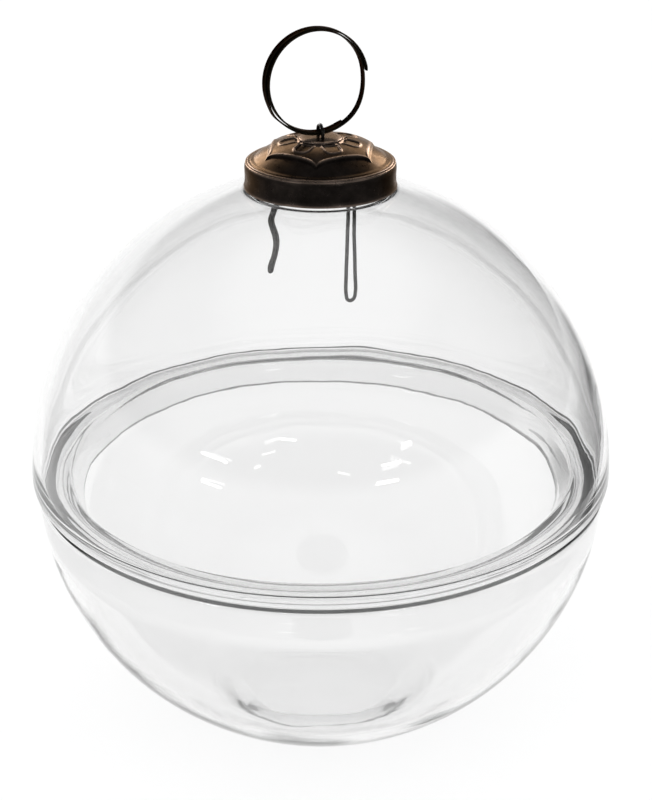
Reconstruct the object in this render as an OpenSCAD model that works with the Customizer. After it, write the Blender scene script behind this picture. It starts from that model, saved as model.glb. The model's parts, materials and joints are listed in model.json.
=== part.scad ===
// Two-part blown glass ball ornament: a domed lid on a round bowl, closed at
// the neck by a stamped metal cap with a wire spring clip and a hanging ring.
// Origin: centre of the flat base, +Z up. Sizes in millimetres.

/* [Bowl] */
// Outer radius of the round bowl
bowl_r = 98.7; // [80:0.1:120]
// Thickness of the bowl's wall
bowl_wall = 3.2; // [2:0.1:4]
// Thickness of the flat floor
floor_t = 4.5; // [3:0.1:7]
// Radius of the flat face that the bowl stands on
base_r = 28; // [20:1:45]
// Width of the thick rim around the mouth
rim_w = 7.6; // [6.5:0.1:9]
// Rounding of the rim's edges
rim_round = 2.6; // [1.5:0.1:3]

/* [Lid] */
// How far the lid stands out past the bowl
lid_over = 1.3; // [1.2:0.1:4]
// How far the crown's radius is larger than the lid's radius
crown_extra = 5; // [1:0.5:8]
// Angle above the widest line at which the crown starts
crown_start = 20; // [15:1:30]
// Thickness of the lid's wall
lid_wall = 3.2; // [2:0.1:4]
// Rounding of the lid's outer bottom edge
lid_edge = 3.5; // [2:0.1:4]
// Thickness of the ledge that rests on the bowl's rim
ledge_t = 3; // [2:0.1:4]
// Depth of the collar that drops into the bowl
collar_h = 8; // [5:0.5:14]
// Thickness of the collar
collar_t = 3.4; // [2.5:0.1:4]
// How far the collar leans in from top to bottom
collar_lean = 3.6; // [1:0.1:6]
// Space between the collar and the bowl's rim
collar_gap = 1.2; // [0.5:0.1:2]

/* [Neck] */
// Outer radius of the glass neck
neck_r = 23.6; // [19:0.1:29]
// Wall of the glass neck
neck_wall = 3; // [2:0.1:3.4]
// Room between the neck's top and the underside of the cap's shoulder
neck_room = 1.4; // [1:0.1:3]

/* [Cap] */
// Space between the neck and the cap's skirt
cap_gap = 0.6; // [0.4:0.1:1]
// Sheet metal thickness of the cap
sheet_t = 0.5; // [0.4:0.05:0.6]
// How far the skirt flares out at its lower edge
skirt_flare = 0.35; // [0.1:0.05:1.5]
// Height of the skirt
skirt_h = 8.4; // [7:0.1:12]
// Rise of the domed top above the skirt
dome_rise = 6.9; // [5:0.1:9]
// Radius of the flat button in the middle
button_r = 7; // [6:0.1:9]
// Height of the button above the domed top
button_h = 0.7; // [0.5:0.1:1]
// Gap between the skirt's lower edge and the glass crown
skirt_lift = 0.4; // [0.3:0.1:1]

/* [Ring and clip] */
// Outer radius of the hanging ring
ring_r = 17.2; // [15:0.1:22]
// Thickness of the ring's flat strip
strip_t = 0.55; // [0.4:0.05:0.7]
// Width of the ring's flat strip
strip_w = 2.8; // [2:0.1:3.2]
// Space between the ring's two turns
turn_gap = 0.15; // [0.1:0.05:0.3]
// Turn of the ring's plane about the upright axis, in degrees
ring_yaw = 20; // [0:1:30]
// How far the ring sits to the side of the clip
ring_side = 1.5; // [0:0.1:2]
// Diameter of the clip's spring wire
wire_d = 1.2; // [0.6:0.05:1.3]
// Play of the ring in the clip's loop and above the button
ring_play = 0.12; // [0.1:0.01:0.3]
// Length of the clip's legs below the skirt
leg_drop = 35; // [20:1:45]

/* [Hidden] */
$fn = 96;
glass = [0.90, 0.93, 0.92, 0.35];
bronze = [0.20, 0.14, 0.10];
dark_iron = [0.13, 0.10, 0.08];
wire_grey = [0.36, 0.35, 0.34];
past = 1;                       // how far a cutting shape runs past its face

// Seam: the bowl is a ball cut off at its widest line and at its base
seam_z = sqrt(pow(bowl_r, 2) - pow(base_r, 2));
rim_in = bowl_r - rim_w;        // inner radius of the bowl's mouth

// Lid: a belly arc below, a slightly larger crown arc above, tangent to it
lid_r = bowl_r + lid_over;
belly_z = seam_z + 1.2;         // height of the lid's widest line
crown_r = lid_r + crown_extra;
crown_x = -crown_extra * cos(crown_start);
crown_z = belly_z - crown_extra * sin(crown_start);
collar_top_r = rim_in - collar_gap;
neck_in = neck_r - neck_wall;
// Height of the crown's surface at a radius r from the axis
function crown_height(r, inset = 0) =
    crown_z + sqrt(pow(crown_r - inset, 2) - pow(r - crown_x, 2));

// Cap: its skirt hangs over the neck, its top rises to the button
skirt_top_r = neck_r + cap_gap + sheet_t;
skirt_r = skirt_top_r + skirt_flare;
skirt_z = crown_height(skirt_top_r) + skirt_lift;
shoulder_z = skirt_z + skirt_h;
neck_top = shoulder_z - sheet_t - neck_room;
collar_z = shoulder_z + dome_rise;      // foot of the button
button_z = collar_z + button_h;         // top face of the button

// Ring and clip: the loop is just wide enough for the strip to turn in it
stack_t = 2 * strip_t + turn_gap;       // both turns of the ring
swing_r = sqrt(pow(stack_t / 2, 2) + pow(strip_w / 2, 2));
hinge_z = button_z + swing_r + ring_play;
loop_r = swing_r + ring_play + wire_d / 2;
strand = 1.2 * wire_d;                  // spacing of a leg's two wires
hole_r = wire_d / 2 + 0.3;
tip_z = skirt_z - leg_drop;

// Unit vector in the level plane at an angle a
function level(a) = [cos(a), sin(a), 0];

// Points on an arc about the centre c, from angle a0 to angle a1 in n steps
function arc(c, r, a0, a1, n) = [
    for (i = [0 : n])
        let (a = a0 + (a1 - a0) * i / n)
            c + r * [cos(a), sin(a)]
];

// ---------------------------------------------------------------- glass bowl
// Outline of the bowl's section, right of the axis: up the outside, round the
// thick rim and down the inside to the floor
bowl_c = [0, seam_z];
bowl_in = bowl_r - bowl_wall;
rim_low = 2 * rim_round + 1.5;          // depth where the rim meets the wall
bowl_outline = concat(
    [[0, 0]],
    arc(bowl_c, bowl_r, -acos(base_r / bowl_r), -asin(rim_round / bowl_r), 40),
    arc([bowl_r - rim_round, seam_z - rim_round], rim_round, 0, 90, 8),
    arc([rim_in + rim_round, seam_z - rim_round], rim_round, 90, 250, 14),
    arc(bowl_c, bowl_in, -asin(rim_low / bowl_in),
        -asin((seam_z - floor_t) / bowl_in), 40),
    [[0, floor_t]]
);

module glass_bowl() {
    color(glass) rotate_extrude($fn = 180) polygon(bowl_outline);
}

// ----------------------------------------------------------------- glass lid
lip = neck_wall / 2;                    // round top of the neck
edge = collar_t / 2;                    // round lower edge of the collar
collar_low = [collar_top_r - collar_lean - edge, seam_z - collar_h + edge];
crown_c = [crown_x, crown_z];
lid_in = lid_r - lid_wall;
crown_in = crown_r - lid_wall;
function belly_angle(h, r) = asin((seam_z + h - belly_z) / r);
function crown_angle(x, r) = acos((x - crown_x) / r);
// Up the outside to the neck's lip, down the inside, along the ledge and
// round the collar
lid_outline = concat(
    arc([lid_r - lid_edge, seam_z + lid_edge], lid_edge, -90, -10, 9),
    arc([0, belly_z], lid_r, belly_angle(lid_edge, lid_r), crown_start, 10),
    arc(crown_c, crown_r, crown_start + 1, crown_angle(neck_r, crown_r), 24),
    arc([neck_r - lip, neck_top - lip], lip, 0, 180, 10),
    arc(crown_c, crown_in, crown_angle(neck_in, crown_in), crown_start + 1, 24),
    arc([0, belly_z], lid_in, crown_start, belly_angle(ledge_t, lid_in), 10),
    [[collar_top_r - collar_t, seam_z + ledge_t]],
    arc(collar_low, edge, 180, 360, 12),
    [[collar_top_r, seam_z]]
);

module glass_lid() {
    color(glass) rotate_extrude($fn = 180) polygon(lid_outline);
}

// ------------------------------------------------------------------ neck cap
// Points on a round arc from a to b that bulges by sag, without b itself
function bulge(a, b, sag, n) = [
    for (i = [0 : n - 1])
        let (t = i / n, side = [a[1] - b[1], b[0] - a[0]] / norm(b - a))
            a + (b - a) * t - side * (4 * sag * t * (1 - t))
];
dome_n = 10;                    // steps along the domed top
dome_sag = 1.5;                 // how far the domed top bulges
button_drop = 0.4;              // rounding of the button's edge
function cap_outline(t) = concat(
    [[skirt_r - t, skirt_z],
     [skirt_top_r + skirt_flare / 3 - t, skirt_z + skirt_h / 5],
     [skirt_top_r - t, shoulder_z - skirt_h / 4],
     [skirt_top_r - 0.15 - t, shoulder_z - 1.1],
     [skirt_top_r - 0.6 - t, shoulder_z - 0.4 - t / 4]],
    bulge([skirt_top_r - 1.5 - t * 0.7, shoulder_z + 0.4 - t * 0.7],
          [button_r + 0.3, collar_z - t], dome_sag, dome_n),
    [[button_r + 0.3 - t, collar_z - t / 2],
     [button_r - t, button_z - button_drop - t / 2],
     [button_r - button_drop - t, button_z - t],
     [0, button_z - t]]
);

module neck_cap() {
    color(bronze) difference() {
        rotate_extrude() polygon(concat(cap_outline(0), [[0, skirt_z]]));
        rotate_extrude() polygon(concat(
            [[skirt_r - sheet_t, skirt_z - past]],
            cap_outline(sheet_t),
            [[0, skirt_z - past]]));
        // Two holes that the clip's wire passes through
        for (side = [-1, 1])
            translate(side * loop_r * level(ring_yaw + 90))
                translate([0, 0, collar_z - 3]) cylinder(r = hole_r, h = 6);
    }
}

// --------------------------------------------------------------- spring clip
// One wire: from its free end under the cap down the back leg and up again,
// through the cap, over the ring's strip, down the front leg and up again.
// Each stop is [angle about the axis, radius, height, spread of the leg's wires].
front_a = -57;
back_a = 138;
loop_in_a = ring_yaw - 90;
loop_out_a = ring_yaw + 90;
wall_r = neck_in - wire_d / 2 - 0.9;    // how close a leg may come to the neck
front_r = wall_r - 1.1;                 // radius of the front leg's tip
front_spread = 3.4;                     // spread of the front leg's wires

// Over the ring: a half circle about the hinge, from one hole to the other
loop_stops = [for (i = [0 : 8])
    let (a = 180 - i * 22.5)
    [loop_out_a, loop_r * -cos(a), hinge_z + loop_r * sin(a), 0]];
back_stops = [
    [back_a, wall_r + 4, tip_z, strand],
    [back_a, wall_r + 2, tip_z + 6, strand],
    [back_a, wall_r + 1.2, tip_z + 11, strand],
    [back_a, wall_r + 3.3, tip_z + 18, strand],
    [back_a, wall_r + 1.8, tip_z + 22, strand],
    [back_a, wall_r - 1.1, skirt_z - 1, strand],
    [back_a, wall_r - 3.2, skirt_z + 3.5, strand],
    [back_a - 12, 10, collar_z - 5.5, strand],
    [back_a - 24, 4.4, collar_z - 3, strand / 2],
    [loop_out_a, loop_r + 0.1, button_z - 1.6, 0]
];
front_stops = [
    [loop_in_a, loop_r + 0.1, button_z - 1.6, 0],
    [front_a - 12, 4.4, collar_z - 3, strand / 2],
    [front_a, 10, collar_z - 5.5, strand],
    [front_a, front_r - 2, skirt_z + 3.5, 0.5 * front_spread],
    [front_a, front_r - 0.7, skirt_z - 1, 0.6 * front_spread],
    [front_a, front_r - 0.4, tip_z + 22, 0.75 * front_spread],
    [front_a, front_r - 0.2, tip_z + 9, front_spread],
    [front_a, front_r, tip_z + 2, front_spread]
];

// A stop's place: side is -1 or 1 for the leg's two wires, which lie apart
// along the level direction across the leg
function place(s, across, side) =
    s[1] * level(s[0]) + [0, 0, s[2]] + side * s[3] / 2 * level(across);
function run(stops, from, to, across, side) = [
    for (i = [from : from < to ? 1 : -1 : to]) place(stops[i], across, side)
];
// The turn-round at a leg's tip, a half circle below its last stops
function turn_round(s, across, side) = [
    for (i = [1 : 3])
        s[1] * level(s[0]) + [0, 0, s[2] - s[3] / 2 * sin(i * 45)]
            + side * s[3] / 2 * cos(i * 45) * level(across)
];
wire_way = concat(
    run(back_stops, 7, 0, back_a - 90, 1),
    turn_round(back_stops[0], back_a - 90, 1),
    run(back_stops, 0, 9, back_a - 90, -1),
    run(loop_stops, 0, 8, ring_yaw, 1),
    run(front_stops, 0, 7, front_a + 90, -1),
    turn_round(front_stops[7], front_a + 90, -1),
    run(front_stops, 7, 2, front_a + 90, 1)
);

// Smooth curve through all stops, in steps of 1 / n
function hermite(p, q, m, k, t) =
    p * (2 * pow(t, 3) - 3 * pow(t, 2) + 1) + m * (pow(t, 3) - 2 * pow(t, 2) + t)
    + q * (3 * pow(t, 2) - 2 * pow(t, 3)) + k * (pow(t, 3) - pow(t, 2));
function slope(way, i) =
    i == 0 ? way[1] - way[0] :
    i == len(way) - 1 ? way[i] - way[i - 1] :
    let (a = norm(way[i] - way[i - 1]), b = norm(way[i + 1] - way[i]))
        ((way[i] - way[i - 1]) * b / a + (way[i + 1] - way[i]) * a / b) / (a + b);
function smooth_way(way, n) = concat(
    [for (i = [0 : len(way) - 2]) for (j = [0 : n - 1])
        let (len_i = norm(way[i + 1] - way[i]),
             m = i == 0 ? slope(way, i) : slope(way, i) * len_i,
             k = i == len(way) - 2 ? slope(way, i + 1) : slope(way, i + 1) * len_i)
        hermite(way[i], way[i + 1], m, k, j / n)],
    [way[len(way) - 1]]
);

// Round wire swept along a way, with sides flat faces
function unit(v) = v / norm(v);
function way_dir(way, i) =
    unit(way[min(i + 1, len(way) - 1)] - way[max(i - 1, 0)]);
// Each ring's first direction is the last one's, turned as little as possible
function frames(way, i, u) =
    i == len(way) ? [] :
    let (d = way_dir(way, i), v = unit(u - d * (u * d)))
        concat([[v, cross(d, v)]], frames(way, i + 1, v));
module wire(way, d, sides) {
    fr = frames(way, 0, [0.3, 0.5, 0.1]);
    n = len(way);
    points = [for (i = [0 : n - 1]) for (k = [0 : sides - 1])
        way[i] + d / 2 * (cos(k * 360 / sides) * fr[i][0]
                          + sin(k * 360 / sides) * fr[i][1])];
    skin = [for (i = [0 : n - 2]) for (k = [0 : sides - 1])
        let (k2 = (k + 1) % sides)
        [i * sides + k, (i + 1) * sides + k, (i + 1) * sides + k2, i * sides + k2]];
    ends = [[for (k = [0 : sides - 1]) k],
            [for (k = [sides - 1 : -1 : 0]) (n - 1) * sides + k]];
    polyhedron(points, concat(skin, ends), convexity = 10);
}

module spring_clip() {
    color(wire_grey) wire(smooth_way(wire_way, 2), wire_d, 8);
}

// ---------------------------------------------------------------- split ring
// The strip starts outside at the right, runs once round on the outer turn,
// steps in over the single stretch and runs round again on the inner turn.
end_a = 8;                      // angle of the strip's outer end
step_from = 303;                // where the strip leaves the outer turn
step_to = end_a + 360;          // where it has reached the inner turn
close_a = step_from + 360;      // angle of the strip's inner end
outer_turn = ring_r - strip_t / 2;
inner_turn = outer_turn - strip_t - turn_gap;
function ease(t) = t <= 0 ? 0 : t >= 1 ? 1 : t * t * (3 - 2 * t);
function turn_r(a) = outer_turn
    - (outer_turn - inner_turn) * ease((a - step_from) / (step_to - step_from));
ring_step = 7.5;                // angle between the outline's points
ring_n = ceil((close_a - end_a) / ring_step);
function strip_edge(off) = [for (i = [0 : ring_n])
    let (a = end_a + i * (close_a - end_a) / ring_n)
    (turn_r(a) + off) * [cos(a), sin(a)]];
ring_mid = (outer_turn + inner_turn) / 2;
ring_z = hinge_z + sqrt(pow(ring_mid, 2) - pow(ring_side, 2));

module split_ring() {
    inner = strip_edge(-strip_t / 2);
    color(dark_iron)
        rotate([0, 0, ring_yaw]) translate([-ring_side, 0, ring_z]) rotate([90, 0, 0])
            linear_extrude(strip_w, center = true)
                polygon(concat(strip_edge(strip_t / 2),
                    [for (i = [ring_n : -1 : 0]) inner[i]]));
}

glass_bowl();
glass_lid();
neck_cap();
spring_clip();
split_ring();
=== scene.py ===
"""Looks of the glass ball ornament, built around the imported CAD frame.

Every piece is worked out from the boxes of the CAD nodes and from the few sizes below.
Lengths are in metres in the frame, and angles about the axis are counted from the side that
faces the camera (-Y), turning towards +X.
"""

import json
import math

import bmesh
import bpy
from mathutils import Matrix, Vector, noise


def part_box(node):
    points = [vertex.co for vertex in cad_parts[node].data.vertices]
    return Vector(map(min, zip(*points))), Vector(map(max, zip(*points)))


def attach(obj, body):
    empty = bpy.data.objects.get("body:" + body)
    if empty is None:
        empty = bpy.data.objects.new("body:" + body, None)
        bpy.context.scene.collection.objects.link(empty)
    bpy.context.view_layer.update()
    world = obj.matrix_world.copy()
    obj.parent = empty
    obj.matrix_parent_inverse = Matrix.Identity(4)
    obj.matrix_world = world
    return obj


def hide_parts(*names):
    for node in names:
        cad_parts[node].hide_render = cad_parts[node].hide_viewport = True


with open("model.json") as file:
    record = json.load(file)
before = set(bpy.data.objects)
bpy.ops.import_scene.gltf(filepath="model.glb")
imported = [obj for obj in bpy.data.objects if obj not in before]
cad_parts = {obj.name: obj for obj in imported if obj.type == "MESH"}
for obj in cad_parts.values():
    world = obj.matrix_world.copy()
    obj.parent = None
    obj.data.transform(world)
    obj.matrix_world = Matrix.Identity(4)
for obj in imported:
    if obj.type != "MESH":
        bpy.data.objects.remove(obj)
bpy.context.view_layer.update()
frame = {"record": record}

MM = 0.001

# ------------------------------------------------------------------ sizes
bowl_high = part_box("glass_bowl")[1]
lid_low, lid_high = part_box("glass_lid")
cap_low, cap_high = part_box("neck_cap")
clip_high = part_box("spring_clip")[1]
hinge = next(j for j in frame["record"]["behaviour"]["joints"] if j["name"] == "ring_swing")

SEAM = bowl_high.z                  # the plane where the lid rests on the bowl
BOWL_R = bowl_high.x
BASE_R = 28 * MM
BOWL_WALL = 3.2 * MM
FLOOR_T = 4.5 * MM
RIM_W = 7.6 * MM
RIM_ROUND = 2.6 * MM
LID_R = lid_high.x + 0.03 * MM      # the widest line lies a little above the round edge
LID_WALL = 3.2 * MM
LID_EDGE = 3.5 * MM
LEDGE_T = 3.0 * MM
BELLY_UP = 1.2 * MM                 # height of the widest line above the seam
CROWN_EXTRA = 5.0 * MM              # how much larger the crown's radius is than the lid's
CROWN_START = 20.0                  # angle above the horizontal where the crown's arc starts
COLLAR_T = 3.4 * MM
COLLAR_LEAN = 3.6 * MM
COLLAR_GAP = 1.2 * MM
NECK_R = 23.6 * MM
NECK_WALL = 3.0 * MM
NECK_TOP = lid_high.z
SHEET_T = 0.5 * MM
SKIRT_R = cap_high.x
SKIRT_FLARE = 0.35 * MM
SKIRT_H = 8.4 * MM
BUTTON_R = 7.0 * MM
BUTTON_H = 0.7 * MM
RING_R = 17.2 * MM
STRIP_T = 0.55 * MM
STRIP_W = 2.8 * MM
TURN_GAP = 0.15 * MM
RING_SIDE = 1.5 * MM
WIRE_D = 1.2 * MM
SEAM_GAP = 0.06 * MM                # air left between the two rims, so that both faces show
KICK = 0.7 * MM                     # how far the middle of the base is pushed up

AROUND = 224                        # steps round a turned piece
WAVE = 0.32 * MM                    # how deep the hand-blown waves of the glass are


# ------------------------------------------------------------------ outlines
def polar(r, degrees):
    """A point at a distance and an angle, in the (radius, height) plane or any other."""
    a = math.radians(degrees)
    return r * math.cos(a), r * math.sin(a)


def on_plan(r, degrees):
    """The (x, y) of a point at a radius and an angle about the axis."""
    a = math.radians(degrees)
    return r * math.sin(a), -r * math.cos(a)


def arc(centre, r, start, end, steps):
    """Points on an arc in the (radius, height) plane."""
    points = []
    for i in range(steps + 1):
        x, z = polar(r, start + (end - start) * i / steps)
        points.append((centre[0] + x, centre[1] + z))
    return points


def line(a, b, steps):
    """Points from a up to, and without, b."""
    dx, dz = b[0] - a[0], b[1] - a[1]
    return [(a[0] + dx * i / steps, a[1] + dz * i / steps) for i in range(steps)]


def ease(t):
    """A smooth step from 0 to 1."""
    t = min(max(t, 0.0), 1.0)
    return t * t * (3 - 2 * t)


def bump(x, width):
    """A round ridge across x, one high at x = 0."""
    return math.exp(-(x / width) ** 2)


def mesh_piece(name, vertices, faces, material, smooth=True):
    """A new object with one material; points that fall together are joined."""
    mesh = bpy.data.meshes.new(name)
    mesh.from_pydata(vertices, [], faces)
    mesh.validate()
    bm = bmesh.new()
    bm.from_mesh(mesh)
    bmesh.ops.remove_doubles(bm, verts=bm.verts, dist=1e-7)
    bmesh.ops.recalc_face_normals(bm, faces=bm.faces)
    bm.to_mesh(mesh)
    bm.free()
    if smooth:
        mesh.shade_smooth()
    piece = bpy.data.objects.new(name, mesh)
    bpy.context.collection.objects.link(piece)
    piece.data.materials.append(material)
    return piece


def turned(name, outline, material, shape, steps=AROUND):
    """A closed outline turned about the axis. shape(i, radius, height, angle) moves each point."""
    count = len(outline)
    vertices = []
    for k in range(steps):
        angle = 360.0 * k / steps
        for i, (r, z) in enumerate(outline):
            r2, z2 = shape(i, r, z, angle)
            vertices.append((*on_plan(r2, angle), z2))
    faces = []
    for k in range(steps):
        for i in range(count - 1):
            a = k * count + i
            b = ((k + 1) % steps) * count + i
            faces.append((a, b, b + 1, a + 1))
    return mesh_piece(name, vertices, faces, material)


def mark_points(piece, name, amounts):
    """Give each point a number that a material can read."""
    values = piece.data.attributes.new(name, "FLOAT", "POINT")
    for value, amount in zip(values.data, amounts):
        value.value = amount


# ------------------------------------------------------------------ materials
def grey(value):
    return (value, value, value)


def new_material(name):
    material = bpy.data.materials.new(name)
    material.use_nodes = True
    tree = material.node_tree
    return material, tree, tree.nodes["Principled BSDF"]


def add(tree, kind, **values):
    """A new node; each value goes to the input or the setting of that name."""
    node = tree.nodes.new(kind)
    for key, value in values.items():
        if key in node.inputs:
            node.inputs[key].default_value = value
        else:
            setattr(node, key, value)
    return node


def noise_node(tree, scale, detail=3.0, roughness=0.5, stretch=(1, 1, 1)):
    place = add(tree, "ShaderNodeTexCoord")
    mapping = add(tree, "ShaderNodeMapping")
    mapping.inputs["Scale"].default_value = stretch
    texture = add(tree, "ShaderNodeTexNoise", Scale=scale, Detail=detail, Roughness=roughness)
    tree.links.new(place.outputs["Object"], mapping.inputs["Vector"])
    tree.links.new(mapping.outputs["Vector"], texture.inputs["Vector"])
    return texture


def ramp_node(tree, source, stops):
    ramp = tree.nodes.new("ShaderNodeValToRGB")
    elements = ramp.color_ramp.elements
    while len(elements) < len(stops):
        elements.new(0.5)
    for element, (position, colour) in zip(elements, stops):
        element.position = position
        element.color = (*colour, 1)
    tree.links.new(source, ramp.inputs["Fac"])
    return ramp


def bump_node(tree, source, strength, distance, under=None):
    node = add(tree, "ShaderNodeBump", Strength=strength, Distance=distance)
    tree.links.new(source, node.inputs["Height"])
    if under:
        tree.links.new(under.outputs["Normal"], node.inputs["Normal"])
    return node


def blown_glass(name, absorb, wave_strength, tint=1.0):
    """Clear glass with faint drawn streaks, and a grey body that only thick glass shows."""
    material, tree, shader = new_material(name)
    shader.inputs["Base Color"].default_value = (*grey(tint), 1)
    shader.inputs["Roughness"].default_value = 0.0
    shader.inputs["IOR"].default_value = 1.5
    shader.inputs["Transmission Weight"].default_value = 1.0
    streaks = noise_node(tree, 55, 2, 0.5, (0.6, 0.6, 2.2))
    ripple = bump_node(tree, streaks.outputs["Fac"], wave_strength, 0.5 * MM)
    tree.links.new(ripple.outputs["Normal"], shader.inputs["Normal"])
    volume = add(tree, "ShaderNodeVolumeAbsorption", Density=absorb)
    volume.inputs["Color"].default_value = (0.05, 0.06, 0.06, 1)
    out = tree.nodes["Material Output"]
    tree.links.new(volume.outputs["Volume"], out.inputs["Volume"])
    # Lamps and soft light reach what stands behind the glass, a little dimmed
    rays = tree.nodes.new("ShaderNodeLightPath")
    soft = add(tree, "ShaderNodeMath", operation="MAXIMUM")
    tree.links.new(rays.outputs["Is Shadow Ray"], soft.inputs[0])
    tree.links.new(rays.outputs["Is Diffuse Ray"], soft.inputs[1])
    dim = tree.nodes.new("ShaderNodeBsdfTransparent")
    dim.inputs["Color"].default_value = (*grey(0.985), 1)
    mix = tree.nodes.new("ShaderNodeMixShader")
    tree.links.new(soft.outputs["Value"], mix.inputs["Fac"])
    tree.links.new(shader.outputs["BSDF"], mix.inputs[1])
    tree.links.new(dim.outputs["BSDF"], mix.inputs[2])
    tree.links.new(mix.outputs["Shader"], out.inputs["Surface"])
    return material


def antique_metal(name, stops, scale, roughness, stretch=(1, 1, 1), grain=0.12,
                  along=None, rubbed=None, edge=(1, 1, 1)):
    """Worn dark metal: a mottled colour and polish, a fine grain, and bare metal where rubbed.

    stops colour the mottling, roughness is its lowest and highest value, and edge tints the
    metal at a glancing angle. along names a point attribute that the pattern follows instead
    of the object's own space, and rubbed is the colour where the "wear" attribute is 1.
    """
    material, tree, shader = new_material(name)
    shader.inputs["Metallic"].default_value = 1.0
    shader.inputs["Specular Tint"].default_value = (*edge, 1)

    def mottle(size, detail):
        texture = noise_node(tree, size, detail, 0.62, stretch)
        if along:
            strip = add(tree, "ShaderNodeAttribute", attribute_name=along)
            mapping = texture.inputs["Vector"].links[0].from_node
            tree.links.new(strip.outputs["Vector"], mapping.inputs["Vector"])
        return texture

    blotches = mottle(scale, 6)
    colour = ramp_node(tree, blotches.outputs["Fac"], stops)
    shown = colour.outputs["Color"]
    if rubbed:
        marks = add(tree, "ShaderNodeAttribute", attribute_name="wear")
        patchy = add(tree, "ShaderNodeMath", operation="MULTIPLY")
        tree.links.new(marks.outputs["Fac"], patchy.inputs[0])
        spread = mottle(scale * 0.7, 3)
        patches = ramp_node(tree, spread.outputs["Fac"], [(0.3, grey(0.35)), (0.62, grey(1.0))])
        tree.links.new(patches.outputs["Color"], patchy.inputs[1])
        mix = add(tree, "ShaderNodeMix", data_type="RGBA")
        tree.links.new(patchy.outputs["Value"], mix.inputs["Factor"])
        tree.links.new(shown, mix.inputs["A"])
        mix.inputs["B"].default_value = (*rubbed, 1)
        shown = mix.outputs["Result"]
    tree.links.new(shown, shader.inputs["Base Color"])
    low, high = roughness
    polish = ramp_node(tree, mottle(scale * 2.3, 4).outputs["Fac"], [(0.3, grey(low)), (0.7, grey(high))])
    tree.links.new(polish.outputs["Color"], shader.inputs["Roughness"])
    broad = bump_node(tree, blotches.outputs["Fac"], grain, 0.25 * MM)
    relief = bump_node(tree, mottle(scale * 12, 3).outputs["Fac"], grain, 0.05 * MM, broad)
    tree.links.new(relief.outputs["Normal"], shader.inputs["Normal"])
    return material


# ------------------------------------------------------------------ glass bowl
def wave(x, y, z, size, seed):
    """Smooth noise from 0 to 1, one wave about size long."""
    return 0.5 + 0.5 * noise.noise(Vector((x / size + seed, y / size, z / size)))


def blown(i, r, z, angle, inner_from):
    """The radius with waves pressed into the glass from both sides, never out of it."""
    x, y = on_plan(r, angle)
    seed = 7.3 if i >= inner_from else 1.9
    push = WAVE * (wave(x, y, z, 38 * MM, seed) + 0.35 * wave(x, y, z, 15 * MM, seed + 4))
    return r - push if i < inner_from else r + push * 0.8


def bowl_outline():
    """The outside from the middle of the base up to the rim, then the inside back down."""
    centre = (0, SEAM)
    inner = BOWL_R - BOWL_WALL
    rim_in = BOWL_R - RIM_W
    heel = 12 * MM                  # length along the wall left for rounding it into the floor
    per_radian = 57.3               # degrees in one radian, rounded
    blend_h = 17 * MM               # height over which the thick rim runs into the wall
    blend_steps, floor_steps = 16, 12

    pushed_up = ((0, 1), (0.35, 0.85), (0.62, 0.36), (0.8, 0.04))      # shares of BASE_R and KICK
    base = [(out * BASE_R, up * KICK) for out, up in pushed_up]
    base_edge = -math.degrees(math.acos(BASE_R / BOWL_R))
    rim_start = -math.degrees(math.asin(RIM_ROUND / BOWL_R))
    outer = (
        base
        + line((0.86 * BASE_R, 0), (BASE_R, 0), 3)
        + arc(centre, BOWL_R, base_edge, rim_start, 56)
        + arc((BOWL_R - RIM_ROUND, SEAM - RIM_ROUND), RIM_ROUND, 0, 90, 10)[1:]
    )
    blend = []
    for i in range(1, blend_steps):
        t = i / blend_steps
        z = SEAM - RIM_ROUND - (blend_h - RIM_ROUND) * t
        wall = math.sqrt(inner ** 2 - (SEAM - z) ** 2)
        blend.append((rim_in + (wall - rim_in) * ease(t), z))
    wall_start = -math.degrees(math.asin(blend_h / inner))
    wall_end = heel / inner * per_radian - math.degrees(math.asin((SEAM - FLOOR_T) / inner))
    within = (
        arc((rim_in + RIM_ROUND, SEAM - RIM_ROUND), RIM_ROUND, 90, 180, 10)
        + blend
        + arc(centre, inner, wall_start, wall_end, 48)
    )
    heel_r, heel_z = within[-1]
    bottom = []
    for i in range(1, floor_steps + 1):
        left = 1 - i / floor_steps
        bottom.append((heel_r * left, FLOOR_T + (heel_z - FLOOR_T) * left ** 2.4))
    return outer + within + bottom, len(outer)


def paint_groove_shade(piece, material, inside):
    """Faces in the narrow groove at the seam take a grey glass: painted shade for the dark line along the
    seam.
    """
    piece.data.materials.append(material)
    for face in piece.data.polygons:
        x, y, z = face.center
        if inside(math.hypot(x, y), z):
            face.material_index = 1


def make_bowl(material, groove):
    outline, inner_from = bowl_outline()

    def shape(i, r, z, angle):
        if r <= 0:
            return 0.0, z
        calm = ease(z / (6 * MM)) * ease((SEAM - z) / (9 * MM))     # no waves at the base and rim
        return r + (blown(i, r, z, angle, inner_from) - r) * calm, z

    piece = turned("bowl_glass", outline, material, shape)
    # The grey glass on the groove's faces is painted shade at the seam
    paint_groove_shade(piece, groove, lambda r, z: r > BOWL_R - 1.5 * MM and z > SEAM - 1.0 * MM)
    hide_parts("glass_bowl")
    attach(piece, "bowl")


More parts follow.
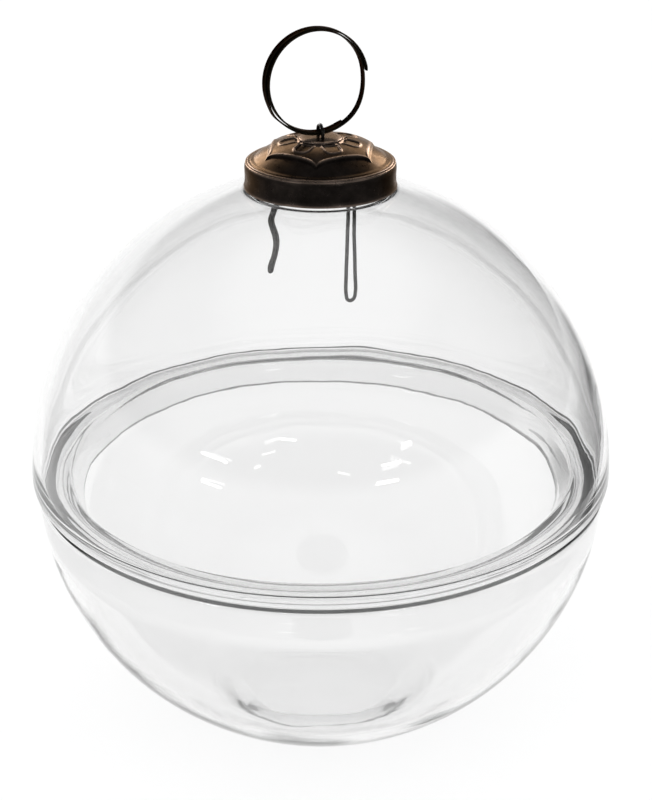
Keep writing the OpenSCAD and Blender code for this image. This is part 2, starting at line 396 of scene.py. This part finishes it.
# ------------------------------------------------------------------ glass lid
def lid_outline():
    """The outside from the rounded edge up to the neck, then the inside down to the collar."""
    belly_z = SEAM + BELLY_UP
    seat = SEAM + SEAM_GAP
    crown_r = LID_R + CROWN_EXTRA
    crown_x, crown_z = polar(CROWN_EXTRA, CROWN_START)
    crown = (-crown_x, belly_z - crown_z)
    lid_in = LID_R - LID_WALL
    crown_in = crown_r - LID_WALL
    neck_in = NECK_R - NECK_WALL
    lip = NECK_WALL / 2
    edge = COLLAR_T / 2
    collar_top = BOWL_R - RIM_W - COLLAR_GAP
    collar_in = collar_top - COLLAR_T
    collar_low = (collar_top - COLLAR_LEAN - edge, lid_low.z + edge)
    fillet = 2.2 * MM               # inside, where the wall meets the ledge
    shoulder = 1.6 * MM             # inside, where the neck meets the crown
    ledge_round = 1.6 * MM          # inside, where the ledge turns down into the collar

    def belly_angle(height, r):
        return math.degrees(math.asin((SEAM + height - belly_z) / r))

    def crown_angle(x, r):
        return math.degrees(math.acos((x - crown[0]) / r))

    neck_foot = crown[1] + math.sqrt(crown_r ** 2 - (NECK_R - crown[0]) ** 2)
    outer = (
        arc((LID_R - LID_EDGE, seat + LID_EDGE), LID_EDGE, -90, -8, 14)
        + arc((0, belly_z), LID_R, belly_angle(LID_EDGE + 0.4 * MM, LID_R), CROWN_START, 22)
        + arc(crown, crown_r, CROWN_START + 1, crown_angle(NECK_R + 1.2 * MM, crown_r), 50)
        + [(NECK_R + 0.35 * MM, neck_foot + 0.45 * MM)]
        + line((NECK_R, NECK_TOP - 5 * MM), (NECK_R, NECK_TOP - lip), 4)
        + arc((NECK_R - lip, NECK_TOP - lip), lip, 0, 90, 5)
    )
    inner = (
        arc((neck_in + lip, NECK_TOP - lip), lip, 90, 180, 5)[1:]
        + line((neck_in, NECK_TOP - 2 * lip), (neck_in, NECK_TOP - 8.5 * MM), 4)
        + arc((neck_in + shoulder, NECK_TOP - 8.3 * MM), shoulder, 180, 240, 6)
        + arc(crown, crown_in, crown_angle(neck_in + 1.9 * MM, crown_in), CROWN_START + 1, 56)
        + arc((0, belly_z), lid_in, CROWN_START, belly_angle(LEDGE_T + fillet, lid_in), 16)
        + arc((lid_in - fillet - 0.05 * MM, seat + LEDGE_T + fillet), fillet, 0, -90, 6)[1:]
        + line((lid_in - fillet - 1 * MM, seat + LEDGE_T), (collar_in + 1 * MM, seat + LEDGE_T), 4)
        + arc((collar_in + 1.4 * MM, seat + LEDGE_T - ledge_round), ledge_round, 90, 165, 6)
        + arc(collar_low, edge, 170, 350, 14)
        + [(collar_top - 0.4 * MM, seat - 0.5 * MM), (collar_top + 0.2 * MM, seat)]
        + line((collar_top + 1 * MM, seat), (LID_R - LID_EDGE, seat), 4)
    )
    return outer + inner, len(outer)


def make_lid(material, groove):
    outline, inner_from = lid_outline()
    closed = outline + [outline[0]]

    def shape(i, r, z, angle):
        moved = blown(i % len(outline), r, z, angle, inner_from)
        # No waves at the ledge and the neck
        calm = ease((z - SEAM - 3 * MM) / (8 * MM)) * ease((r - NECK_R - 1.5 * MM) / (6 * MM))
        # The collar's sheared lower edge wanders a little
        x, y = on_plan(r, angle)
        low = ease((SEAM - 2 * MM - z) / (6 * MM))
        ragged = 0.9 * wave(x, y, 0, 24 * MM, 11.0) + 0.35 * wave(x, y, 0, 7 * MM, 3.0)
        return r + (moved - r) * calm, z + MM * low * ragged

    piece = turned("lid_glass", closed, material, shape)
    # The grey glass on the groove's faces is painted shade at the seam
    paint_groove_shade(piece, groove, lambda r, z: r > LID_R - 2.4 * MM and z < SEAM + 1.0 * MM)
    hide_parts("glass_lid")
    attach(piece, "lid")


# ------------------------------------------------------------------ neck cap
SKIRT_Z = cap_low.z
SHOULDER_Z = SKIRT_Z + SKIRT_H
BUTTON_Z = cap_high.z
SKIRT_TOP_R = SKIRT_R - SKIRT_FLARE
FOOT_R = SKIRT_TOP_R - 1.5 * MM     # where the domed top starts inside the shoulder
LOBES = 6
LOBE_AT = 26.0                      # angle of one lobe's middle
LOBE_FOOT_R = 19.2 * MM             # where neighbouring arches meet
LOBE_RISE = 3.3 * MM                # how far an arch reaches in from there
HOLLOW_OUT_R = 22.9 * MM
HOLLOW_DEEP = 0.62 * MM
RIDGE_H = 0.30 * MM
PETALS = 7
PETAL_AT = 20.7                     # angle of one petal's middle
PETAL_R = 10.1 * MM                 # radius of a petal's middle
PETAL_W = 5.5 * MM
PETAL_L = 6.6 * MM
PETAL_CORNER = 1.8 * MM
PETAL_H = 0.34 * MM
PETAL_DEEP = 0.24 * MM
MOAT_R = 7.9 * MM                   # the dip round the button
MOAT_DEEP = 0.55 * MM
DOME_SAG = 1.5 * MM                 # how far the domed top swells past a straight cone


def around(angle, at, count):
    """Signed angle from the nearest of count equal spaces, one of which is centred on at."""
    pitch = 360.0 / count
    return (angle - at + pitch / 2) % pitch - pitch / 2


def stamping(r, angle):
    """Height and wear of the pressed pattern: six arched hollows at the foot, petals above."""
    across = around(angle, LOBE_AT, LOBES) * LOBES / 180       # -1 to 1 over one lobe
    arch = LOBE_FOOT_R - LOBE_RISE * math.sqrt(max(0.0, 1 - across * across))
    hollow = ease((r - arch) / (1.0 * MM)) * ease((HOLLOW_OUT_R - r) / (1.6 * MM))
    ridge = bump(r - arch + 0.3 * MM, 0.38 * MM) * (1 - 0.75 * across ** 6)
    # Distance from the rounded outline of the nearest petal, less than zero inside it
    side = math.radians(around(angle, PETAL_AT, PETALS)) * r
    past_side = abs(side) - PETAL_W / 2 + PETAL_CORNER
    past_end = abs(r - PETAL_R) - PETAL_L / 2 + PETAL_CORNER
    distance = math.hypot(max(past_side, 0), max(past_end, 0))
    distance += min(max(past_side, past_end), 0) - PETAL_CORNER
    petal = bump(distance, 0.36 * MM)
    raised = RIDGE_H * ridge + PETAL_H * petal
    sunk = HOLLOW_DEEP * hollow + PETAL_DEEP * ease(-distance / (0.9 * MM))
    sunk += MOAT_DEEP * bump(r - MOAT_R, 0.5 * MM)
    return raised - sunk, max(ridge, petal)


def cap_outline():
    """The outside of the pressed sheet: the skirt and its beads, the domed top, the button."""
    skirt = [
        (SKIRT_R, SKIRT_Z),
        (SKIRT_R, SKIRT_Z + 0.3 * MM),
        (SKIRT_R - 0.18 * MM, SKIRT_Z + 0.8 * MM),
        (SKIRT_TOP_R - 0.05 * MM, SKIRT_Z + 1.7 * MM),
        (SKIRT_TOP_R - 0.08 * MM, SKIRT_Z + 3.2 * MM),
        (SKIRT_TOP_R - 0.04 * MM, SKIRT_Z + 4.8 * MM),
        (SKIRT_TOP_R, SHOULDER_Z - 2.2 * MM),
        (SKIRT_TOP_R - 0.04 * MM, SHOULDER_Z - 1.4 * MM),
        (SKIRT_TOP_R - 0.2 * MM, SHOULDER_Z - 0.85 * MM),
    ]
    bead_r = 0.34 * MM
    bead = arc((SKIRT_TOP_R - 0.62 * MM, SHOULDER_Z - 0.52 * MM), bead_r, -10, 120, 7)
    step = arc((SKIRT_TOP_R - 1.25 * MM, SHOULDER_Z - 0.12 * MM), bead_r, -10, 130, 7)
    foot_r, foot_z = FOOT_R - 0.3 * MM, SHOULDER_Z + 0.2 * MM
    top_r, top_z = BUTTON_R + 0.35 * MM, BUTTON_Z - BUTTON_H
    dome = []
    steps = 76
    for i in range(steps + 1):
        t = i / steps
        sag = 4 * DOME_SAG * t * (1 - t)
        dome.append((foot_r + (top_r - foot_r) * t + 0.40 * sag, foot_z + (top_z - foot_z) * t + 0.92 * sag))
    button = arc((BUTTON_R - 0.45 * MM, BUTTON_Z - 0.5 * MM), 0.42 * MM, -50, 90, 8)
    middle = line((BUTTON_R - 0.8 * MM, BUTTON_Z - 0.06 * MM), (0, BUTTON_Z), 8) + [(0, BUTTON_Z)]
    return skirt + bead + step, dome, button + middle


def make_cap(material):
    below, dome, above = cap_outline()
    outside = below + dome + above
    dome_from, dome_to = len(below), len(below) + len(dome)
    count = len(outside)
    # The inside follows the outside one sheet lower, from the middle back to the skirt's edge
    inside = []
    for i, (r, z) in enumerate(outside):
        a, b = outside[max(i - 1, 0)], outside[min(i + 1, count - 1)]
        d = math.hypot(b[0] - a[0], b[1] - a[1]) or 1.0
        nr, nz = (b[1] - a[1]) / d, -(b[0] - a[0]) / d
        inside.append((max(r - nr * SHEET_T, 0.0), z - nz * SHEET_T if i else z))
    inside[-1] = (0.0, BUTTON_Z - SHEET_T)
    outline = outside + inside[::-1] + [outside[0]]

    def shape(i, r, z, angle):
        j = i % (2 * count)
        k = j if j < count else 2 * count - 1 - j
        if dome_from <= k < dome_to:
            z += stamping(outside[k][0], angle)[0]
        return r, z

    piece = turned("cap_shell", outline, material, shape, 480)
    drill_holes(piece)
    mark_wear(piece)
    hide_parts("neck_cap")
    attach(piece, "cap")
    return piece


def mark_wear(piece):
    """Raised lines and edges, where the dark finish is rubbed thin, are marked from 0 to 1."""
    amounts = []
    for vertex in piece.data.vertices:
        x, y, z = vertex.co
        r = math.hypot(x, y)
        rubbed = 0.0
        if z > SHOULDER_Z - 0.2 * MM and 7.4 * MM < r < 22.5 * MM:
            rubbed = stamping(r, math.degrees(math.atan2(x, -y)))[1]
        edges = (
            bump(math.hypot(r - SKIRT_TOP_R + 0.35 * MM, z - SHOULDER_Z + 0.35 * MM), 0.3 * MM),
            bump(math.hypot(r - SKIRT_TOP_R + 1.0 * MM, z - SHOULDER_Z - 0.1 * MM), 0.3 * MM),
            bump(math.hypot(r - SKIRT_R, z - SKIRT_Z), 0.5 * MM),
            0.9 * bump(math.hypot(r - BUTTON_R, z - BUTTON_Z + 0.2 * MM), 1.2 * MM),
        )
        amounts.append(max(rubbed, *edges))
    mark_points(piece, "wear", amounts)


# ------------------------------------------------------------------ spring clip
HINGE = Vector(hinge["pos_m"])
TANGENT = Vector(hinge["axis"]).normalized()        # along the ring's plane
ACROSS = Vector((-TANGENT.y, TANGENT.x, 0))         # along the ring's axis, away from the camera
RING_YAW = math.degrees(math.atan2(TANGENT.y, TANGENT.x))
LOOP_R = clip_high.z - WIRE_D / 2 - HINGE.z
STRAND = 1.2 * WIRE_D                               # between the back leg's two wires
HOLE_R = WIRE_D / 2 + 0.3 * MM
TIP_Z = SKIRT_Z - 35 * MM                           # lowest bend of the legs
WALL_R = NECK_R - NECK_WALL - WIRE_D / 2 - 0.9 * MM     # the back leg, just inside the neck
FRONT_R = WALL_R - 1.1 * MM                         # the front leg
COLLAR_Z = BUTTON_Z - BUTTON_H
FRONT_SPREAD = 3.4 * MM                             # between the front leg's two wires
FRONT_A = -57.0                                     # the legs' angles, counted from +X to +Y
BACK_A = 138.0


def drill_holes(piece):
    """The two wire holes through the cap's button."""
    for side in (-1, 1):
        place = HINGE + side * LOOP_R * ACROSS
        bpy.ops.mesh.primitive_cylinder_add(vertices=40, radius=HOLE_R, depth=8 * MM, location=place)
        drill = bpy.context.object
        cut = piece.modifiers.new("hole", "BOOLEAN")
        cut.operation = "DIFFERENCE"
        cut.object = drill
        bpy.context.view_layer.objects.active = piece
        bpy.ops.object.modifier_apply(modifier="hole")
        bpy.data.objects.remove(drill)
    piece.data.shade_smooth()
    piece.data.set_sharp_from_angle(angle=math.radians(50))


def level(degrees):
    """The level direction at an angle counted from +X to +Y."""
    x, y = polar(1.0, degrees)
    return Vector((x, y, 0))


def clip_stops():
    """Each stop is (angle, radius, height, spread of a leg's two wires), angles from +X."""
    loop = []
    loop_steps = 16
    for i in range(loop_steps + 1):
        x, z = polar(LOOP_R, 180 - i * 180 / loop_steps)
        loop.append((RING_YAW + 90, -x, HINGE.z + z, 0))
    back = [
        (BACK_A, WALL_R + 4 * MM, TIP_Z, STRAND),
        (BACK_A, WALL_R + 2 * MM, TIP_Z + 6 * MM, STRAND),
        (BACK_A, WALL_R + 1.2 * MM, TIP_Z + 11 * MM, STRAND),
        (BACK_A, WALL_R + 3.3 * MM, TIP_Z + 18 * MM, STRAND),
        (BACK_A, WALL_R + 1.8 * MM, TIP_Z + 22 * MM, STRAND),
        (BACK_A, WALL_R - 1.1 * MM, SKIRT_Z - 1 * MM, STRAND),
        (BACK_A, WALL_R - 3.2 * MM, SKIRT_Z + 3.5 * MM, STRAND),
        (BACK_A - 12, 10 * MM, COLLAR_Z - 5.5 * MM, STRAND),
        (BACK_A - 24, 4.4 * MM, COLLAR_Z - 3 * MM, STRAND / 2),
        (RING_YAW + 90, LOOP_R + 0.1 * MM, BUTTON_Z - 1.6 * MM, 0),
    ]
    front = [
        (RING_YAW - 90, LOOP_R + 0.1 * MM, BUTTON_Z - 1.6 * MM, 0),
        (FRONT_A - 12, 4.4 * MM, COLLAR_Z - 3 * MM, STRAND / 2),
        (FRONT_A, 10 * MM, COLLAR_Z - 5.5 * MM, STRAND),
        (FRONT_A, FRONT_R - 2 * MM, SKIRT_Z + 3.5 * MM, 0.5 * FRONT_SPREAD),
        (FRONT_A, FRONT_R - 0.7 * MM, SKIRT_Z - 1 * MM, 0.6 * FRONT_SPREAD),
        (FRONT_A, FRONT_R - 0.4 * MM, TIP_Z + 22 * MM, 0.75 * FRONT_SPREAD),
        (FRONT_A, FRONT_R - 0.2 * MM, TIP_Z + 9 * MM, FRONT_SPREAD),
        (FRONT_A, FRONT_R, TIP_Z + 2 * MM, FRONT_SPREAD),
    ]
    return back, loop, front


def wire_way():
    """One wire: down and up the back leg, over the ring's strip, down and up the front leg."""
    back, loop, front = clip_stops()

    def run(stops, across, side):
        return [
            r * level(angle) + Vector((0, 0, z)) + side * spread / 2 * level(across)
            for angle, r, z, spread in stops
        ]

    def turn_round(stop, across, side):
        """The U-bend at a leg's tip."""
        angle, r, z, spread = stop
        points = []
        for i in range(1, 6):
            x, drop = polar(spread / 2, i * 30)
            points.append(r * level(angle) + Vector((0, 0, z - drop)) + side * x * level(across))
        return points

    return (
        run(back[7::-1], BACK_A - 90, 1)
        + turn_round(back[0], BACK_A - 90, 1)
        + run(back, BACK_A - 90, -1)
        + run(loop, RING_YAW, 1)
        + run(front, FRONT_A + 90, -1)
        + turn_round(front[-1], FRONT_A + 90, -1)
        + run(front[:1:-1], FRONT_A + 90, 1)
    )


def smooth_way(way, steps):
    """A smooth curve through every stop."""
    def slope(i):
        """The direction at a stop, closest to that of its shorter side."""
        if i == 0:
            return (way[1] - way[0]).normalized()
        if i == len(way) - 1:
            return (way[i] - way[i - 1]).normalized()
        a, b = (way[i] - way[i - 1]).length, (way[i + 1] - way[i]).length
        return ((way[i] - way[i - 1]) * (b / a) + (way[i + 1] - way[i]) * (a / b)) / (a + b)

    points = []
    for i in range(len(way) - 1):
        length = (way[i + 1] - way[i]).length
        m, k = slope(i) * length, slope(i + 1) * length
        for j in range(steps):
            t = j / steps
            points.append(
                way[i] * (2 * t ** 3 - 3 * t ** 2 + 1) + m * (t ** 3 - 2 * t ** 2 + t)
                + way[i + 1] * (3 * t ** 2 - 2 * t ** 3) + k * (t ** 3 - t ** 2)
            )
    return points + [way[-1]]


def swept(name, way, section, material, start_up):
    """A closed section swept along a way. section is a list of (side, up) points."""
    vertices, faces = [], []
    count = len(section)
    up = Vector(start_up)
    for i, point in enumerate(way):
        ahead = (way[min(i + 1, len(way) - 1)] - way[max(i - 1, 0)]).normalized()
        up = (up - ahead * up.dot(ahead)).normalized()
        side = ahead.cross(up)
        vertices += [point + a * side + b * up for a, b in section]
    for i in range(len(way) - 1):
        for k in range(count):
            k2 = (k + 1) % count
            faces.append((i * count + k, (i + 1) * count + k, (i + 1) * count + k2, i * count + k2))
    faces.append(tuple(range(count)))
    faces.append(tuple((len(way) - 1) * count + k for k in reversed(range(count))))
    return mesh_piece(name, vertices, faces, material)


def make_clip(material):
    round_wire = [polar(WIRE_D / 2, k * 30) for k in range(12)]
    piece = swept("clip_wire", smooth_way(wire_way(), 4), round_wire, material, (0.3, 0.5, 0.1))
    # The legs keep the bare grey of the wire; above the neck it shares the cap's dark finish
    mark_points(piece, "wear", [ease((SKIRT_Z + 2 * MM - v.co.z) / (4 * MM)) for v in piece.data.vertices])
    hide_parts("spring_clip")
    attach(piece, "cap")
    return piece


# ------------------------------------------------------------------ split ring
OUTER_TURN = RING_R - STRIP_T / 2
INNER_TURN = OUTER_TURN - STRIP_T - TURN_GAP
RING_MID = (OUTER_TURN + INNER_TURN) / 2
END_A = 8.0                         # angle of the outer end, counted from TANGENT upwards
STEP_FROM = 303.0                   # from here the strip steps in to the inner turn
STEP_TO = END_A + 360
CLOSE_A = STEP_FROM + 360           # angle of the inner end
SPLAY = 0.9 * MM                    # how far each turn is sprung sideways, opposite the other
KINK_A = 216.0                      # where the outer turn is bent a little outwards
KINK_OUT = 0.30 * MM


def make_ring(material):
    """A flat strip wound into two turns, sprung a little apart at the sides."""
    centre = HINGE - RING_SIDE * TANGENT + Vector((0, 0, math.sqrt(RING_MID ** 2 - RING_SIDE ** 2)))
    steps = 360
    edge = 0.12 * MM                # rounding of the strip's edges
    half_t, half_w = STRIP_T / 2, STRIP_W / 2
    section = [
        (half_t, half_w - edge), (half_t - edge, half_w),
        (edge - half_t, half_w), (-half_t, half_w - edge),
        (-half_t, edge - half_w), (edge - half_t, -half_w),
        (half_t - edge, -half_w), (half_t, edge - half_w),
    ]
    vertices, faces, along = [], [], []
    for i in range(steps + 1):
        a = END_A + (CLOSE_A - END_A) * i / steps
        step = ease((a - STEP_FROM) / (STEP_TO - STEP_FROM))
        r = OUTER_TURN - (OUTER_TURN - INNER_TURN) * step
        r += (1 - step) * KINK_OUT * bump(a - KINK_A, 9)
        taper = min(1.0, 0.55 + 0.15 * min(i, steps - i))       # snipped, rounded ends
        x, z = polar(1.0, a)
        from_clip = abs((a - 90) % 360 - 180)       # degrees from the lowest point, in the clip
        free = 1 - math.exp(-(from_clip / 45) ** 4)
        shift = SPLAY * (2 * step - 1) * x * free
        for t, w in section:
            point = centre + (r + t) * x * TANGENT + Vector((0, 0, (r + t) * z))
            vertices.append(point + (shift + w * taper) * ACROSS)
            along.append((math.radians(a) * RING_R, t, w))
    count = len(section)
    for i in range(steps):
        for k in range(count):
            k2 = (k + 1) % count
            faces.append((i * count + k, i * count + k2, (i + 1) * count + k2, (i + 1) * count + k))
    faces.append(tuple(range(count)))
    faces.append(tuple(steps * count + k for k in reversed(range(count))))
    piece = mesh_piece("ring_strip", vertices, faces, material)
    strip = piece.data.attributes.new("strip", "FLOAT_VECTOR", "POINT")
    for place, value in zip(along, strip.data):
        value.vector = place
    piece.data.set_sharp_from_angle(angle=math.radians(35))
    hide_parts("split_ring")
    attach(piece, "ring")


# ------------------------------------------------------------------ stage, light and camera
def make_floor():
    material, tree, shader = new_material("pale_floor")
    mottle = noise_node(tree, 6, 2)
    colour = ramp_node(tree, mottle.outputs["Fac"], [(0.3, grey(0.93)), (0.7, grey(0.95))])
    tree.links.new(colour.outputs["Color"], shader.inputs["Base Color"])
    shader.inputs["Roughness"].default_value = 0.9
    shader.inputs["Specular IOR Level"].default_value = 0.1
    half, low = 6.0, -0.05 * MM
    corners = [(-half, -half, low), (half, -half, low), (half, half, low), (-half, half, low)]
    floor = mesh_piece("floor", corners, [(0, 1, 2, 3)], material, smooth=False)


def make_world():
    """White backdrop and floor light. Glass and metal reflect a bright tent with a darker belt."""
    world = bpy.data.worlds.new("studio")
    bpy.context.scene.world = world
    world.use_nodes = True
    tree = world.node_tree
    tree.nodes.clear()
    place = tree.nodes.new("ShaderNodeTexCoord")
    split = tree.nodes.new("ShaderNodeSeparateXYZ")
    tree.links.new(place.outputs["Generated"], split.inputs["Vector"])
    heights = [(0.0, 1.0), (0.20, 1.0), (0.30, 0.30), (0.76, 0.24), (0.90, 0.7), (1.0, 0.85)]
    tent = ramp_node(tree, split.outputs["Z"], [(height, grey(light)) for height, light in heights])
    # One dark screen stands behind the ball, to its right in the main view
    toward = tree.nodes.new("ShaderNodeVectorMath")
    toward.operation = "DOT_PRODUCT"
    tree.links.new(place.outputs["Generated"], toward.inputs[0])
    toward.inputs[1].default_value = Vector((0.72, 0.62, 0.22)).normalized()
    screen = ramp_node(tree, toward.outputs["Value"], [(0.78, grey(1.0)), (0.90, grey(0.16))])
    tent_screen = add(tree, "ShaderNodeMix", data_type="RGBA", blend_type="MULTIPLY")
    tent_screen.inputs["Factor"].default_value = 1.0
    tree.links.new(tent.outputs["Color"], tent_screen.inputs["A"])
    tree.links.new(screen.outputs["Color"], tent_screen.inputs["B"])
    around_light = add(tree, "ShaderNodeBackground", Strength=1.0)
    tree.links.new(tent_screen.outputs["Result"], around_light.inputs["Color"])
    backdrop = add(tree, "ShaderNodeBackground", Strength=1.13)
    backdrop.inputs["Color"].default_value = (1, 1, 1, 1)
    rays = tree.nodes.new("ShaderNodeLightPath")
    even = add(tree, "ShaderNodeMath", operation="MAXIMUM")
    tree.links.new(rays.outputs["Is Camera Ray"], even.inputs[0])
    tree.links.new(rays.outputs["Is Diffuse Ray"], even.inputs[1])
    mix = tree.nodes.new("ShaderNodeMixShader")
    out = tree.nodes.new("ShaderNodeOutputWorld")
    tree.links.new(even.outputs["Value"], mix.inputs["Fac"])
    tree.links.new(around_light.outputs["Background"], mix.inputs[1])
    tree.links.new(backdrop.outputs["Background"], mix.inputs[2])
    tree.links.new(mix.outputs["Shader"], out.inputs["Surface"])


def make_light(name, place, target, size, power, only=None):
    """A soft rectangular lamp that the camera can't see. only limits it to a collection."""
    data = bpy.data.lights.new(name, "AREA")
    data.shape = "RECTANGLE"
    data.size, data.size_y = size
    data.energy = power
    light = bpy.data.objects.new(name, data)
    light.location = place
    light.rotation_euler = (Vector(target) - Vector(place)).to_track_quat("-Z", "Y").to_euler()
    bpy.context.collection.objects.link(light)
    light.visible_camera = False
    if only:
        light.light_linking.receiver_collection = only


def make_card(name, x, brightness):
    """A soft-edged card beside the object, out of view, draws one edge of the glass in grey."""
    material, tree, shader = new_material(name)
    shader.inputs["Base Color"].default_value = (*grey(0), 1)
    shader.inputs["Specular IOR Level"].default_value = 0.0
    shader.inputs["Emission Color"].default_value = (*grey(1), 1)
    shader.inputs["Emission Strength"].default_value = brightness
    cover = add(tree, "ShaderNodeAttribute", attribute_name="cover")
    tree.links.new(cover.outputs["Fac"], shader.inputs["Alpha"])
    near, far, high = -0.12, 0.45, 0.2
    columns, rows = 20, 10
    vertices, faces, covers = [], [], []
    for i in range(columns + 1):
        for j in range(rows + 1):
            along, up = i / columns, j / rows
            vertices.append((x, near + (far - near) * along, high * up))
            covers.append(ease(min(along, 1 - along) / 0.4) * ease((1 - up) / 0.5))
            if i < columns and j < rows:
                k = i * (rows + 1) + j
                faces.append((k, k + 1, k + rows + 2, k + rows + 1))
    card = mesh_piece(name, vertices, faces, material)
    mark_points(card, "cover", covers)
    card.visible_camera = False
    card.visible_diffuse = False
    card.visible_shadow = False


def make_window_panes():
    """Small panes in front of the object, which the bowl's far wall mirrors as bright flecks."""
    panes = [                       # angle, elevation, width, height
        (24.7, 17.1, 0.16, 0.022), (27.1, 22.1, 0.15, 0.022), (35.0, 27.7, 0.08, 0.03),
        (-13.0, 33.3, 0.12, 0.02), (-40.6, 13.5, 0.19, 0.018), (-41.4, 21.8, 0.24, 0.02),
    ]
    target = Vector((0, 0, 0.06))
    distance = 1.25
    radiance = 16.0
    for i, (angle, elevation, width, height) in enumerate(panes):
        level_r, up = polar(1.0, elevation)
        place = target + distance * Vector((*on_plan(level_r, angle), up))
        make_light("pane_%d" % i, place, target, (width, height), radiance * math.pi * width * height)


def make_camera():
    """At the photograph's angle: 0.57 m from the middle of the seam, a long lens looking down."""
    data = bpy.data.cameras.new("camera")
    data.sensor_fit = "HORIZONTAL"
    data.sensor_width = 36.0
    data.lens = 89.0
    data.clip_start = 0.01
    camera = bpy.data.objects.new("camera", data)
    camera.location = (0.0018, -0.50555, SEAM + 0.25848)
    camera.rotation_euler = (math.radians(90 - 24.943), 0, 0)
    bpy.context.collection.objects.link(camera)
    bpy.context.scene.camera = camera


def tune_render():
    """Enough bounces for glass behind glass, and colours shown as they are."""
    scene = bpy.context.scene
    scene.view_settings.view_transform = "Standard"
    scene.view_settings.look = "None"
    scene.cycles.max_bounces = 32
    scene.cycles.transmission_bounces = 24
    scene.cycles.glossy_bounces = 10
    scene.cycles.sample_clamp_indirect = 4.0


# ------------------------------------------------------------------ build
ABSORB = 5.0                        # how fast thick glass turns grey
STREAKS = 0.05                      # strength of the drawn streaks on the glass
CLEAR = 0.97
# Tint of the grey glass in the seam's groove, which is painted shade
GROOVE_SHADE = 0.66

make_camera()
# The groove's grey glass paints the shade of the dark seam line
groove_shade_glass = blown_glass("groove_shade_glass", ABSORB, STREAKS, GROOVE_SHADE)
make_bowl(blown_glass("bowl_glass", ABSORB, STREAKS, CLEAR), groove_shade_glass)
make_lid(blown_glass("lid_glass", ABSORB, STREAKS, CLEAR), groove_shade_glass)
cap = make_cap(antique_metal(
    "bronze_cap",
    [(0.25, (0.003, 0.0025, 0.0022)), (0.52, (0.009, 0.0074, 0.0066)), (0.8, (0.022, 0.0175, 0.015))],
    160, (0.22, 0.40), rubbed=(0.15, 0.115, 0.095), edge=(0.72, 0.62, 0.55),
))
clip = make_clip(antique_metal(
    "spring_wire",
    [(0.3, (0.006, 0.0055, 0.005)), (0.7, (0.016, 0.0145, 0.013))],
    300, (0.3, 0.5), rubbed=(0.115, 0.113, 0.11),
))
make_ring(antique_metal(
    "dark_ring",
    [(0.25, (0.003, 0.0026, 0.002)), (0.5, (0.010, 0.008, 0.005)), (0.75, (0.030, 0.017, 0.011))],
    420, (0.3, 0.5), stretch=(0.12, 1, 1.6), grain=0.2, along="strip", edge=(0.35, 0.28, 0.24),
))
make_floor()
make_card("right_card", 0.26, 0.15)
make_world()
metal = bpy.data.collections.new("metal")
for piece in (cap, clip):
    metal.objects.link(piece)
strips = [                          # place, size and power of the lamps that only the metal sees
    ("left_strip", (-0.5, 0.75, 0.5), (0.4, 0.5), 9.5),
    ("right_strip", (0.55, 0.72, 0.5), (0.4, 0.5), 12.0),
    ("back_strip", (0.0, 0.9, 0.75), (0.9, 0.4), 7.0),
]
for name, place, size, power in strips:
    make_light(name, place, (0, 0, 0.21), size, power, metal)
make_window_panes()
tune_render()
